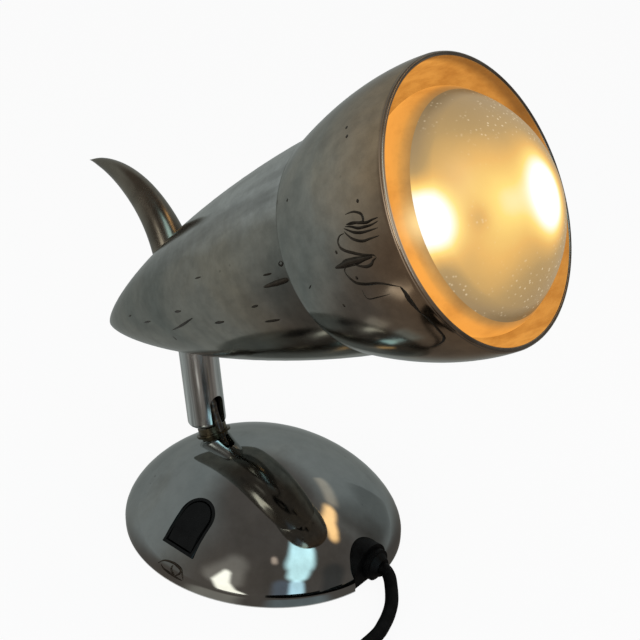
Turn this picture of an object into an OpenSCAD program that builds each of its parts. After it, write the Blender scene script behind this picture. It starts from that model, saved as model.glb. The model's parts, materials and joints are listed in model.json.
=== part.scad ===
// Wall lamp with a cast head, a horn handle and an oval domed base.
// The origin is the middle of the base's flat bottom. +X is the side of the cord, +Z is up.

/* [Base] */
// Length of the oval base along X
base_len = 127.4; // [124:0.2:132]
// Width of the oval base along Y
base_wid = 112.8; // [109:0.2:118]
// Height of the dome
base_h = 38.2; // [37:0.1:40.6]
// Height of the upright band round the rim
rim_h = 2.6; // [2:0.1:3.4]
// Wall of the dome casting
dome_wall = 3; // [2.6:0.1:3.4]
// Thickness of the steel bottom plate
plate_t = 2; // [1.6:0.1:2.4]
// Distance between the two wall screw holes
wall_hole_gap = 64; // [60:1:66]
// Diameter of the wall screw holes
wall_hole_d = 5; // [4:0.5:5.5]

/* [Stem] */
// Outer diameter of the stem tube
tube_d = 17.2; // [17:0.1:18]
// Width of the slot in the foot of the tube
slot_w = 7.4; // [7:0.1:7.8]
// Angle at which the tube leans back from upright
stem_lean = 7.2; // [5:0.2:9]
// Distance from the tilt pin to the axis of the head
stem_reach = 51.4; // [50:0.2:56]
// Place of the neck along X
neck_x = -30.3; // [-32:0.1:-29]
// Diameter of the tilt pin
pin_d = 3; // [2.8:0.1:3.2]
// Diameter of the bearing of the neck in the dome
neck_d = 14.6; // [14.4:0.1:15]

/* [Head] */
// Angle at which the head rises
head_rise = 26.8; // [24:0.2:29]
// Length of the rear casting
rear_len = 170; // [167:0.5:174]
// Radius of the rear casting at the crease
crease_r = 40.3; // [39.6:0.1:41.6]
// Length of the flared front casting
shade_len = 53; // [52:0.5:56]
// Flare of the front casting
shade_flare = 7.9; // [7.6:0.1:9]
// Wall of the rear casting
rear_wall = 3; // [2.6:0.1:3.2]
// Wall of the front casting at its root
shade_wall = 2.4; // [2.2:0.1:2.8]

/* [Handle] */
// Radius of the arc of the horn
horn_arc = 53.3; // [50:0.1:57]
// Sweep of the horn
horn_sweep = 70; // [64:1:74]
// Radius of the horn at its root
horn_r = 8.3; // [7.6:0.1:8.8]

/* [Bulb] */
// Largest diameter of the reflector bulb
bulb_d = 80; // [78:0.5:81]
// Distance of the front of the bulb past the rim
bulb_out = 18.5; // [17:0.1:20.5]
// Drop of the bulb below the axis of the head
bulb_drop = 1.6; // [0:0.2:3]

/* [Switch] */
// Width of the switch
switch_w = 17; // [16.4:0.2:17.6]
// Length of the switch
switch_l = 22.6; // [22:0.2:23.4]
// Slope of the switch
switch_slope = 40; // [38:0.5:42]

/* [Cord] */
// Diameter of the mains cord
cord_d = 5.2; // [4.8:0.1:5.4]
// Diameter of the lead in the stem
lead_d = 3.6; // [3.2:0.1:3.6]

/* [Hidden] */
$fn = 64;

run_fit = 0.05;
slip = 0.15;
eps = 0.01;

// dome: an oval hill, its section a soft superellipse
dome_n = 1.655;
dome_m = 1.5;
dome_a = base_len / 2;
dome_b = base_wid / 2;
function hill(u) = pow(max(0, 1 - pow(min(1, u), dome_n)), 1 / dome_m);
function dome_z(x, y) = rim_h + (base_h - rim_h) * hill(norm([x / dome_a, y / dome_b]));

// screws of the bottom plate
post_screw_r = 2;
post_head_r = 3.6;
post_r = 4.5;
post_at = [[-dome_a + 16.7, 0], [26, dome_b - 22.4], [26, 22.4 - dome_b]];

// neck and stem
foot_z = dome_z(neck_x, 0);
neck_lean = 23.5;
neck_rise = 12;
pivot = [neck_x - neck_rise * sin(neck_lean), 0, foot_z + neck_rise * cos(neck_lean)];
tube_r = tube_d / 2;
tube_low = -8;
tube_lip = 2.4;
tube_lip_r = 5.6;
bore_r = tube_r - 1.5;
insert_top = 15;
insert_low = tube_low + tube_lip + 0.3;
tube_shoulder = 33;
thread_r = 7.5;
boss_top = 38;
boss_r = 12.5;
tube_top = 43;
wire_bore_r = 5.75;
slot_mid = 3;
tongue_t = 5;
tongue_r = 3.6;
shank_r = 3;
shank_top = -6.9;
flange_r = neck_d / 2 + 0.4;
flange_top = 0.1 - neck_rise;
flange_low = -neck_rise - 0.5;
collar_r = 6.4;
cup_r = 11.06;
neck_r = neck_d / 2 - run_fit;
neck_seat = -18;
washer_t = 1.5;
nut_t = 4.5;
neck_end = neck_seat - washer_t - nut_t;
lead_off = shank_r + lead_d / 2 + slip;

// head
cross_s = 66.6;
stem_dir = [-sin(stem_lean), 0, cos(stem_lean)];
head_at = pivot + stem_reach * stem_dir;
rear_k = 1.03;
rear_p = 1.6;
rear_q = 1.31;
function rear_r(s) = crease_r * pow(1 - pow(max(0, 1 - s / (rear_len * rear_k)), rear_p), 1 / rear_q);
flare_len = 43;
function shade_r(s) = rear_r(rear_len) + shade_flare * pow(sin(90 * min(1, s / flare_len)), 0.9)
    - 0.7 * pow(max(0, (s - flare_len) / (shade_len - flare_len)), 2);
function shade_in(s) = shade_r(s) - shade_wall + 0.8 * s / shade_len;
rim_s = rear_len + shade_len;

// horn
horn_s = 64.6;
horn_seat = rear_r(horn_s) - 1.9;
horn_pad = horn_seat - 5.5;
horn_root = 0.4;

// bulb and lampholder, as stations along the head
bulb_front = rim_s + bulb_out;
bulb_len = 114;
bulb_back = bulb_front - bulb_len;
cap_len = 26;
bulb_neck = bulb_len - cap_len;
// side of the bulb: share of the way from front to neck, and how far it lies in from the widest
bulb_side = [[0.25, 1.1], [0.295, 0], [0.34, 0.4], [0.386, 1.8], [0.477, 5], [0.58, 9.4], [0.682, 14],
    [0.784, 18.2], [0.886, 21.8], [0.955, 24]];
holder_low = bulb_back - 12.5;
strap_t = 2;
strap_s = holder_low - strap_t;
lug_len = 16;
lug_w = 4.6;
lug_bite = 1.6;
lug_r = rear_r(strap_s - lug_len) - rear_wall - lug_w + lug_bite;
shade_lug_r = crease_r - 7.1;
holder_r = 19.5;
holder_bore = 14.8;
holder_gap = 9;
holder_screw_r = 1.7;

// switch
sw_x = 3;
sw_y = 13.1 - dome_b;
sw_z = dome_z(sw_x, sw_y);
sw_wall = 1.2;
sw_r = switch_w / 2;
sw_gap = 0.65;
sw_axis = -2.2;
sw_depth = 11.5;
blade_y = [-5, 4];
blade_len = (sw_z - plate_t - 1.1 + blade_y[0] * sin(switch_slope)) / cos(switch_slope) - sw_depth;

// cord exit
arch_r = 10;
arch_z = 5.8;
arch_y = -1.6;
exit_z = 7;
clamp_x = dome_a - 27.7;
clamp_gap = 7;
clamp_screw_r = 1.5;
clamp_top = exit_z + cord_d / 2 + 2;
relief_face = dome_a - 2;
nose_end = relief_face + 5;

// cord and coil
cord_r = cord_d / 2;
coil_c = [125, -88];
coil_turns = 4;
coil_pitch = cord_d + 0.6;
coil_step = cord_d + 0.55;
coil_low = cord_r + 1.2;
coil_out = 30 + 2 * coil_pitch;
coil_in = coil_out - coil_turns * coil_pitch;
coil_end = 8.5;
tail = 42;
coil_start = coil_c[1] + cord_d;
plug_z = 7;
function coil_r(u) =
    u < coil_turns + 0.5 ? coil_out - coil_pitch * u :
    u < coil_turns + 1.25 ? coil_in - coil_pitch / 2 + 2 * coil_pitch * (u - coil_turns - 0.5) :
    coil_in + coil_pitch + coil_pitch * (u - coil_turns - 1.25);
function coil_z(u) =
    u < coil_turns ? coil_low :
    u > coil_turns + 0.5 ? coil_low + coil_step :
    coil_low + coil_step * (1 - cos(360 * (u - coil_turns))) / 2;
function coil_pt(u) = [coil_c[0] + coil_r(u) * cos(180 + 360 * u),
    coil_c[1] + coil_r(u) * sin(180 + 360 * u), coil_z(u)];
tail_x = coil_c[0] + coil_r(coil_end);
tail_z = coil_low + coil_step;
function ease(t) = (1 - cos(180 * t)) / 2;
coil_path = concat([[coil_c[0] - coil_out, coil_start, coil_low]],
    [for (i = [0 : 24 * coil_end]) coil_pt(i / 24)],
    [for (i = [1 : 6]) [tail_x, coil_c[1] + tail * i / 7, tail_z + (plug_z - tail_z) * ease(i / 6)]],
    [[tail_x, coil_c[1] + tail, plug_z]]);
plug_y = coil_c[1] + tail;

// cord route on the floor, from inside the base to the coil
cord_route = [[34, 0, exit_z], [48, 0, exit_z], [60, 0, exit_z], [nose_end, 0, exit_z],
    [nose_end + 4, -1.3, 6.3], [nose_end + 8, -5, 4.8], [nose_end + 12, -10, 3.6],
    [nose_end + 14.9, -15.5, 3.2], [nose_end + 17.1, -21.5, 3.2], [nose_end + 18.7, -28.5, 3.4],
    [coil_c[0] - coil_out + 2.2, -42, coil_low], [coil_c[0] - coil_out + 1.1, -56, coil_low],
    [coil_c[0] - coil_out + 0.2, -68, coil_low], [coil_c[0] - coil_out, coil_start + 6, coil_low],
    [coil_c[0] - coil_out, coil_start, coil_low]];

// smooth curve through points, and a tube round it
function pick(p, i) = p[max(0, min(len(p) - 1, i))];
function curve(p, n) = concat([for (i = [0 : len(p) - 2]) for (j = [0 : n - 1])
    let (a = pick(p, i - 1), b = p[i], c = p[i + 1], d = pick(p, i + 2), t = j / n)
    0.5 * (2 * b + (c - a) * t + (2 * a - 5 * b + 4 * c - d) * t * t
        + (3 * b - a - 3 * c + d) * t * t * t)], [p[len(p) - 1]]);
function unit(v) = v / norm(v);
function heading(p, i) = unit(pick(p, i + 1) - pick(p, i - 1));
function ring(p, i, r, n, ref) =
    let (t = heading(p, i), a = unit(cross(ref, t)), b = cross(t, a))
    [for (k = [0 : n - 1]) p[i] + r * (cos(360 * k / n) * a + sin(360 * k / n) * b)];
module tube_on(p, rr, n, ref = [0, 0, 1]) {
    m = len(p);
    pts = [for (i = [0 : m - 1]) each ring(p, i, rr[i], n, ref)];
    sides = [for (i = [0 : m - 2]) for (k = [0 : n - 1])
        let (q = (k + 1) % n) each [[i * n + k, (i + 1) * n + k, i * n + q],
            [i * n + q, (i + 1) * n + k, (i + 1) * n + q]]];
    caps = [[for (k = [0 : n - 1]) k], [for (k = [n - 1 : -1 : 0]) (m - 1) * n + k]];
    polyhedron(pts, concat(sides, caps), convexity = 10);
}
module wire(p, r, n, ref = [0, 0, 1]) {
    tube_on(p, [for (q = p) r], n, ref);
}

// least distance between turns of the coil, less the cord's own thickness
coil_gap = min([for (i = [0 : 2 : len(coil_path) - 14]) for (j = [i + 13 : len(coil_path) - 1])
    norm(coil_path[i] - coil_path[j])]) - cord_d;
echo(coil_gap = coil_gap);

// placing
module neck_frame() {
    translate(pivot) rotate([0, -neck_lean, 0]) children();
}
module stem_frame() {
    translate(pivot) rotate([0, -stem_lean, 0]) children();
}
module head_frame() {
    translate(head_at) rotate([0, 90 - head_rise, 0]) translate([0, 0, -cross_s]) children();
}
module bulb_frame() {
    head_frame() translate([bulb_drop, 0, 0]) children();
}
module switch_frame() {
    translate([sw_x, sw_y, sw_z]) rotate([switch_slope, 0, 0]) children();
}
// seen from the head's axis: out towards the back of the lamp, where the handle stands
module head_up(s) {
    translate([0, 0, s]) rotate([0, -90, 0]) children();
}
// the stem's axis, given inside the head's own frame
module stem_in_head() {
    translate([0, 0, cross_s]) rotate([0, head_rise - 90 - stem_lean, 0])
        translate([0, 0, -stem_reach]) children();
}

// solids shared by several pieces
module dome_solid(d, low) {
    t_step = 5;
    scale([dome_a - d, dome_b - d, 1])
        rotate_extrude()
            polygon(concat([[0, low], [1, low]],
                [for (t = [0 : t_step : 85]) [pow(cos(t), 2 / dome_n),
                    rim_h + (base_h - d - rim_h) * pow(sin(t), 2 / dome_m)]],
                [[0, base_h - d]]));
}
module oval_plate(d, z0, z1) {
    intersection() {
        translate([-dome_a, -dome_b, z0]) cube([base_len, base_wid, z1 - z0]);
        translate([0, 0, z0 - 1]) scale([dome_a - d, dome_b - d, 1]) cylinder(r = 1, h = z1 - z0 + 2);
    }
}
rear_steps = 26;
function rear_station(i) = rear_len * pow(i / rear_steps, 1.5);
module rear_solid(d = 0) {
    rotate_extrude()
        polygon(concat([[0, 0]], [for (i = [1 : rear_steps]) [rear_r(rear_station(i)) - d,
            rear_station(i)]], [[0, rear_len]]));
}
module d_prism(r, l, z0, z1) {
    translate([0, l / 2 - r, z0]) cylinder(r = r, h = z1 - z0);
    translate([-r, -l / 2, z0]) cube([2 * r, l - r, z1 - z0]);
}
module arch(r, x0, x1, low) {
    intersection() {
        union() {
            translate([x0, arch_y, arch_z]) rotate([0, 90, 0]) cylinder(r = r, h = x1 - x0);
            translate([x0, arch_y - r, low - 5]) cube([x1 - x0, 2 * r, arch_z - low + 5]);
        }
        translate([x0 - 1, arch_y - r - 1, low]) cube([x1 - x0 + 2, 2 * r + 2, arch_z + r + 1 - low]);
    }
}
module post_spots() {
    for (p = post_at) translate([p[0], p[1], 0]) children();
}
module clamp_spots(z) {
    for (s = [-1, 1]) translate([clamp_x, s * clamp_gap, z]) children();
}
module screw(r, h, head_r, head_h, slot) {
    difference() {
        union() {
            cylinder(r = head_r, h = head_h);
            translate([0, 0, -h]) cylinder(r = r, h = h + eps);
        }
        translate([-head_r - 1, -slot / 2, head_h - 0.8]) cube([2 * head_r + 2, slot, 2]);
    }
}

// base
module base_dome() {
    color([0.55, 0.55, 0.54]) difference() {
        union() {
            difference() {
                dome_solid(0, -2);
                dome_solid(dome_wall, -3);
            }
            intersection() {
                dome_solid(0.4, 0);
                neck_frame() translate([0, 0, neck_seat]) cylinder(r = 12, h = 14);
            }
            intersection() {
                dome_solid(1, 0);
                post_spots() translate([0, 0, plate_t]) cylinder(r = post_r, h = base_h);
            }
        }
        neck_frame() translate([0, 0, neck_seat - 12]) cylinder(r = 12.6, h = 12);
        neck_frame() translate([0, 0, neck_seat - 1]) cylinder(d = neck_d, h = 30);
        neck_frame() translate([0, 0, flange_low]) cylinder(r = flange_r + slip, h = 20);
        switch_frame() d_prism(sw_r + run_fit, switch_l + 2 * run_fit, -12, 12);
        arch(arch_r, dome_a - 22, dome_a + 10, -1);
        post_spots() translate([0, 0, plate_t - 1]) cylinder(r = post_screw_r, h = 11);
        translate([-base_len, -base_wid, -10]) cube([2 * base_len, 2 * base_wid, 10]);
    }
}
module wall_holes() {
    for (s = [-1, 1]) translate([-6, s * wall_hole_gap / 2, -1]) cylinder(d = wall_hole_d, h = 6);
}
module base_plate() {
    color([0.42, 0.42, 0.44]) difference() {
        oval_plate(dome_wall + 0.6, 0, plate_t);
        wall_holes();
        translate([dome_a - 20, arch_y - arch_r - 0.4, -1]) cube([30, 2 * arch_r + 0.8, 6]);
        post_spots() translate([0, 0, -1]) cylinder(r = post_screw_r + slip, h = plate_t + 2);
        post_spots() translate([0, 0, -eps]) cylinder(r1 = post_head_r + 2 * slip, r2 = post_screw_r + slip,
            h = 1.7);
        clamp_spots(-1) cylinder(r = clamp_screw_r, h = plate_t + 2);
    }
}
module plate_screws() {
    color([0.6, 0.6, 0.6]) post_spots() difference() {
        union() {
            translate([0, 0, 0.1]) cylinder(r1 = post_head_r, r2 = post_screw_r, h = 1.6);
            translate([0, 0, 0.1]) cylinder(r = post_screw_r, h = 10.6);
        }
        translate([-5, -0.5, -1]) cube([10, 1, 1.8]);
    }
}

// switch
module switch_body() {
    color([0.04, 0.04, 0.04]) switch_frame() difference() {
        d_prism(sw_r, switch_l, -sw_depth, -0.7);
        d_prism(sw_r - sw_wall, switch_l - 2 * sw_wall, 2 - sw_depth, 2);
        translate([-sw_r - 1, -1, sw_axis]) rotate([0, 90, 0]) cylinder(r = 1 + run_fit, h = 2 * sw_r + 2);
    }
}
module rocker() {
    r = sw_r - sw_wall - sw_gap;
    l = switch_l - 2 * sw_wall - 2 * sw_gap;
    color([0.05, 0.05, 0.05]) switch_frame() {
        intersection() {
            d_prism(r, l, -4.6, 2);
            translate([-10, 0, 0]) rotate([90, 0, 90]) linear_extrude(20)
                polygon([[-l / 2 - 1, -4.6], [l / 2 + 1, -4.6], [l / 2 + 1, -0.9],
                    [-3.4, 0.2], [-l / 2 - 1, -1.3]]);
        }
        for (s = [0, 180]) rotate([0, 0, s]) translate([r - 0.5, s > 0 ? 1 : -1, sw_axis]) rotate([0, 90, 0])
            cylinder(r = 1, h = sw_gap + sw_wall + 0.3);
        translate([-1.2, -4.5, -7.4]) cube([2.4, 7, 3]);
    }
}
module switch_blades() {
    color([0.75, 0.6, 0.3]) switch_frame() for (y = blade_y)
        translate([-3, y, -sw_depth - blade_len]) cube([6, 0.8, blade_len]);
}

// cord entry
module strain_relief() {
    color([0.03, 0.03, 0.03]) difference() {
        union() {
            arch(arch_r - slip, dome_a - 15, relief_face, 0.6);
            translate([relief_face - eps, 0, exit_z]) rotate([0, 90, 0]) cylinder(r = 6.4, h = 2.4);
            translate([relief_face + 2.3, 0, exit_z]) rotate([0, 90, 0])
                cylinder(r1 = 5.4, r2 = 3.7, h = nose_end - relief_face - 2.3);
        }
        translate([dome_a - 20, 0, exit_z]) rotate([0, 90, 0]) cylinder(r = cord_r + run_fit, h = 40);
    }
}
module cord_clamp() {
    color([0.08, 0.08, 0.08]) difference() {
        translate([clamp_x - 3.5, -clamp_gap - 3, plate_t])
            cube([7, 2 * clamp_gap + 6, clamp_top - plate_t]);
        translate([clamp_x - 6, 0, exit_z]) rotate([0, 90, 0]) cylinder(r = cord_r + run_fit, h = 12);
        clamp_spots(0) cylinder(r = clamp_screw_r, h = clamp_top + 1);
    }
}
module clamp_screws() {
    color([0.7, 0.7, 0.7]) clamp_spots(clamp_top) screw(clamp_screw_r, clamp_top - 0.2, 2.6, 1.8, 0.8);
}
module terminal_block() {
    color([0.9, 0.9, 0.86]) difference() {
        translate([2, -9, plate_t]) cube([16, 24, 9]);
        for (y = [-4, 3, 10]) {
            translate([0, y, plate_t + 4]) rotate([0, 90, 0]) cylinder(r = 1.8, h = 20);
            for (x = [6, 14]) translate([x, y, plate_t + 4]) cylinder(r = 1.6, h = 10);
        }
    }
}
module inner_leads() {
    z = plate_t + 4;
    live = [[33.8, 1.1, exit_z], [30, 2, exit_z], [25, 3, z], [20, 3, z], [15, 3, z]];
    neutral = [[33.8, -1.1, exit_z], [30, -2, exit_z], [25, -4, z], [20, -4, z], [15, -4, z]];
    color([0.35, 0.22, 0.12]) {
        wire(curve(live, 4), 1.1, 8);
        wire(curve(neutral, 4), 1.1, 8);
    }
}

// neck and stem
module neck() {
    color([0.45, 0.36, 0.22]) neck_frame() difference() {
        union() {
            rotate([90, 0, 0]) cylinder(r = tongue_r, h = tongue_t, center = true);
            translate([-shank_r, -tongue_t / 2, -7.5]) cube([2 * shank_r, tongue_t, 7.5]);
            translate([0, 0, flange_top]) cylinder(r = shank_r, h = shank_top - flange_top);
            rotate_extrude() polygon(concat([[0, flange_low], [flange_r, flange_low], [flange_r, flange_top],
                [collar_r, flange_top]],
                [for (i = [8 : -1 : 0]) let (r = collar_r * i / 8) [r, -sqrt(cup_r * cup_r - r * r)]]));
            translate([0, 0, neck_end]) cylinder(r = neck_r, h = flange_low - neck_end + 0.5);
        }
        rotate([90, 0, 0]) cylinder(d = pin_d + 2 * run_fit, h = 20, center = true);
        translate([lead_off, 0, neck_end - 1]) cylinder(r = lead_d / 2 + 0.2, h = -7.5 - neck_end);
    }
}
module neck_washer() {
    color([0.6, 0.6, 0.62]) neck_frame() translate([0, 0, neck_seat - washer_t]) difference() {
        cylinder(r = 10.5, h = washer_t);
        translate([0, 0, -1]) cylinder(r = neck_r + slip, h = washer_t + 2);
    }
}
module neck_nut() {
    color([0.5, 0.42, 0.28]) neck_frame() translate([0, 0, neck_end]) difference() {
        cylinder(r = 12, h = nut_t, $fn = 6);
        translate([0, 0, -1]) cylinder(r = neck_r, h = nut_t + 2);
    }
}
module stem_lead() {
    x = lead_off;
    w = tongue_r + lead_d / 2 + slip;
    route = [[x, 0, neck_end - 4], [x, 0, neck_end + 1], [x, 0, -15], [x, 0, flange_top],
        [x + 0.1, 0, -7], [w - 0.5, 0, -3], [w, 0, 0], [w - 0.25, 0, 2.4]];
    color([0.36, 0.25, 0.13]) neck_frame() wire(curve(route, 4), lead_d / 2, 10, [0, 1, 0]);
}
module stem_tube() {
    lip = tube_lip;
    color([0.72, 0.72, 0.73]) stem_frame() difference() {
        rotate_extrude() polygon(concat([[tube_lip_r, tube_low + lip], [tube_lip_r, tube_low]],
            [for (t = [0 : 15 : 90]) [tube_r - lip + lip * sin(t), tube_low + lip - lip * cos(t)]],
            [[tube_r, tube_shoulder], [thread_r, tube_shoulder], [thread_r, tube_top],
                [wire_bore_r, tube_top], [wire_bore_r, insert_top], [bore_r, insert_top],
                [bore_r, tube_low + lip]]));
        translate([2, 0, slot_mid]) rotate([0, 90, 0]) cylinder(d = slot_w, h = 10);
        translate([2, -slot_w / 2, tube_low - 1]) cube([10, slot_w, slot_mid - tube_low + 1]);
    }
}
module stem_insert() {
    color([0.5, 0.42, 0.26]) stem_frame() difference() {
        translate([0, 0, insert_low]) cylinder(r = bore_r - run_fit, h = insert_top - insert_low);
        translate([-9, -tongue_t / 2 - 0.1, -7]) cube([18, tongue_t + 0.2, 12.6]);
        translate([2, -lead_d / 2 - 0.5, -7]) cube([9, lead_d + 1, 30]);
        rotate([90, 0, 0]) cylinder(d = pin_d, h = 20, center = true);
    }
}
module pivot_pin() {
    color([0.65, 0.65, 0.65]) stem_frame() rotate([90, 0, 0]) cylinder(d = pin_d, h = 12.6, center = true);
}
module stem_nut() {
    color([0.6, 0.6, 0.6]) stem_frame() translate([0, 0, boss_top]) difference() {
        cylinder(r = 12, h = 4, $fn = 6);
        translate([0, 0, -1]) cylinder(r = thread_r, h = 6);
    }
}

// head
module shade_spots(s) {
    for (a = [60, 180, 300]) rotate([0, 0, a]) translate([shade_lug_r, 0, s]) children();
}
module holder_spots(s) {
    for (a = [-1, 1]) translate([0, a * holder_gap, s]) children();
}
module strap_spots(s) {
    for (a = [-1, 1]) translate([0, a * lug_r, s]) children();
}
module rear_shell() {
    inner_n = 22;
    inner_from = 12;
    color([0.55, 0.55, 0.54]) head_frame() difference() {
        union() {
            rotate_extrude() polygon(concat([[0, 0]],
                [for (i = [1 : rear_steps]) [rear_r(rear_station(i)), rear_station(i)]],
                [for (i = [inner_n : -1 : 0])
                    let (s = inner_from + (rear_len - inner_from) * pow(i / inner_n, 1.3))
                    [rear_r(s) - rear_wall, s]], [[0, inner_from]]));
            intersection() {
                rear_solid(0.6);
                stem_in_head() translate([0, 0, 15]) cylinder(r = boss_r, h = boss_top - 15);
            }
            intersection() {
                rear_solid(0.6);
                head_up(horn_s) translate([0, 0, horn_pad]) cylinder(r = 10.5, h = 20);
            }
            intersection() {
                rear_solid(1);
                union() {
                    strap_spots(strap_s - lug_len) cylinder(r = lug_w, h = lug_len);
                    shade_spots(rear_len - 15) cylinder(r = 4.8, h = 15);
                }
            }
        }
        stem_in_head() cylinder(r = tube_r + run_fit, h = tube_shoulder);
        stem_in_head() translate([0, 0, 10]) cylinder(r = thread_r + run_fit, h = boss_top);
        head_up(horn_s) translate([0, 0, horn_seat]) cylinder(r = horn_r + slip, h = 30);
        head_up(horn_s) translate([0, 0, horn_pad - 1]) cylinder(r = 2.5, h = 30);
        strap_spots(strap_s - 10) cylinder(r = 2, h = 20);
        shade_spots(rear_len - 10) cylinder(r = 2, h = 20);
    }
}
module front_shade() {
    n = 16;
    flange = 3;
    color([0.55, 0.55, 0.54]) head_frame() difference() {
        translate([0, 0, rear_len]) rotate_extrude()
            polygon(concat([[30, 0]],
                [for (i = [0 : n]) [shade_r((shade_len - 0.5) * i / n), (shade_len - 0.5) * i / n]],
                [[shade_r(shade_len) - 0.5, shade_len], [shade_in(shade_len) + 0.4, shade_len]],
                [for (i = [n : -1 : 0]) let (s = flange + (shade_len - 0.4 - flange) * i / n)
                    [shade_in(s), s]], [[30, flange]]));
        shade_spots(rear_len - 1) cylinder(r = 2.2, h = 6);
    }
}
module shade_screws() {
    color([0.6, 0.6, 0.58]) head_frame() shade_spots(rear_len + 3) screw(2, 12, 3.6, 2.2, 1);
}
module horn_handle() {
    n = 18;
    tip = 0.86;
    function rad(t) = horn_r * (1 - 0.61 * t - pow(max(0, t - 0.4), 2))
        * (t < tip ? 1 : sqrt(max(0.02, 1 - pow((t - tip) / (1 - tip), 2))));
    function at(t) = [-horn_seat - horn_root - horn_arc * sin(horn_sweep * t), 0,
        horn_s - horn_arc * (1 - cos(horn_sweep * t))];
    ts = concat([for (i = [0 : n]) tip * i / n], [for (i = [1 : 6]) tip + (1 - tip) * sin(15 * i)]);
    color([0.22, 0.19, 0.15]) head_frame() difference() {
        tube_on(concat([[-horn_seat, 0, horn_s]], [for (t = ts) at(t)]),
            concat([horn_r], [for (t = ts) rad(t)]), 20, [0, 1, 0]);
        head_up(horn_s) translate([0, 0, horn_seat - 1]) cylinder(r = 2.5, h = 15);
    }
}
module horn_screw() {
    color([0.6, 0.6, 0.58]) head_frame() head_up(horn_s) translate([0, 0, horn_pad])
        rotate([180, 0, 0]) screw(2.5, 17, 4.5, 2.8, 1.2);
}

// lampholder and bulb
module holder_strap() {
    color([0.5, 0.5, 0.5]) head_frame() difference() {
        translate([-7, -lug_r - 3.6, strap_s]) cube([14, 2 * lug_r + 7.2, strap_t]);
        strap_spots(strap_s - 1) cylinder(r = 2.2, h = 5);
        translate([bulb_drop, 0, strap_s - 1]) cylinder(r = 4, h = 5);
        translate([bulb_drop, 0, 0]) holder_spots(strap_s - 1) cylinder(r = holder_screw_r, h = 5);
    }
}
module strap_screws() {
    color([0.6, 0.6, 0.58]) head_frame() strap_spots(holder_low) screw(2, 11, 3.4, 2, 1);
}
module holder_screws() {
    color([0.6, 0.6, 0.58]) bulb_frame() holder_spots(strap_s)
        rotate([180, 0, 0]) screw(holder_screw_r, 8, 3, 1.8, 0.9);
}
module lampholder() {
    top = bulb_back + 27;
    color([0.92, 0.9, 0.85]) bulb_frame() difference() {
        rotate_extrude() polygon([[4, holder_low], [holder_r - 1, holder_low], [holder_r, holder_low + 1],
            [holder_r, top - 1.5], [holder_r - 1.5, top], [holder_bore + 0.2, top], [holder_bore, top - 1],
            [holder_bore, bulb_back - 5], [4, bulb_back - 5]]);
        holder_spots(holder_low - 1) cylinder(r = holder_screw_r, h = 20);
    }
}
module holder_shell() {
    n = 6;
    low = bulb_back - 5;
    color([0.76, 0.6, 0.3]) bulb_frame() rotate_extrude() polygon(concat(
        [[9, low], [holder_bore - run_fit, low], [holder_bore - run_fit, low + 29]],
        [for (i = [0 : 2 * n]) [i % 2 == 0 ? 14.4 : 13.75, low + 29 - 1.8 * i]],
        [[13.9, low + 1], [9, low + 1]]));
}
module holder_contact() {
    color([0.78, 0.64, 0.34]) bulb_frame() {
        translate([-3, -7, bulb_back - 5]) cube([6, 14, 1]);
        translate([-2.5, -2.5, bulb_back - 4 - eps]) cube([5, 5, 4 + eps]);
    }
}
module head_lead() {
    q = stem_reach;
    color([0.36, 0.25, 0.13]) {
        stem_frame() wire(curve([[5.2, 0, 6.4], [4.6, 0, 10], [3.4, 0, 16], [2, 0, 26], [1.6, 0, 38],
            [1.8, 0, 45], [5, 0, 52]], 4), lead_d / 2, 8, [0, 1, 0]);
        head_frame() wire(curve([[0, 0, cross_s + 4], [0, 0, cross_s + 14], [bulb_drop, 0, strap_s - 8],
            [bulb_drop, 0, strap_s + 1]], 4), 1.6, 8, [0, 1, 0]);
    }
}
module bulb_glass() {
    r = bulb_d / 2;
    b = bulb_front;
    face_r = r - 3.3;
    cap = 19;
    sph = (face_r * face_r + cap * cap) / (2 * cap);
    a = asin(face_r / sph);
    g = 1;
    function face(q, t) = [q * sin(a * t), b - sph + q * cos(a * t)];
    front = [for (i = [1 : 8]) face(sph, i / 8)];
    front_in = [for (i = [8 : -1 : 1]) face(sph - g, i / 8)];
    side = concat([for (p = bulb_side) [r - p[1], b - bulb_neck * p[0]]],
        [[12.6, b - bulb_neck], [12.6, bulb_back + 22.5]]);
    side_in = [for (i = [len(side) - 1 : -1 : 0]) [side[i][0] - g, side[i][1]]];
    color([0.95, 0.9, 0.8]) bulb_frame() rotate_extrude()
        polygon(concat([[0, b]], front, side, side_in, front_in, [[0, b - g]]));
}
module bulb_cap() {
    low = bulb_back + 3;
    color([0.75, 0.74, 0.7]) bulb_frame() rotate_extrude() polygon(concat(
        [[5, low], [10, low], [12.6, low + 2.5]],
        [for (i = [0 : 9]) [i % 2 == 0 ? 12.7 : 13.3, low + 3.4 + 1.8 * i]],
        [[13.2, low + 21], [13.2, low + 23], [12.6, low + 23], [12.6, low + 19.5], [11.8, low + 19.5],
            [11.8, low + 3], [9.5, low + 1], [5, low + 1]]));
}
module bulb_contact() {
    color([0.6, 0.58, 0.5]) bulb_frame() translate([0, 0, bulb_back]) {
        rotate_extrude() polygon([[0, 0], [3, 0], [4.2, 1], [4.2, 2], [8, 3], [8, 3.001], [5, 3.001],
            [5, 4.5], [0, 4.5]]);
    }
}

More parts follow.
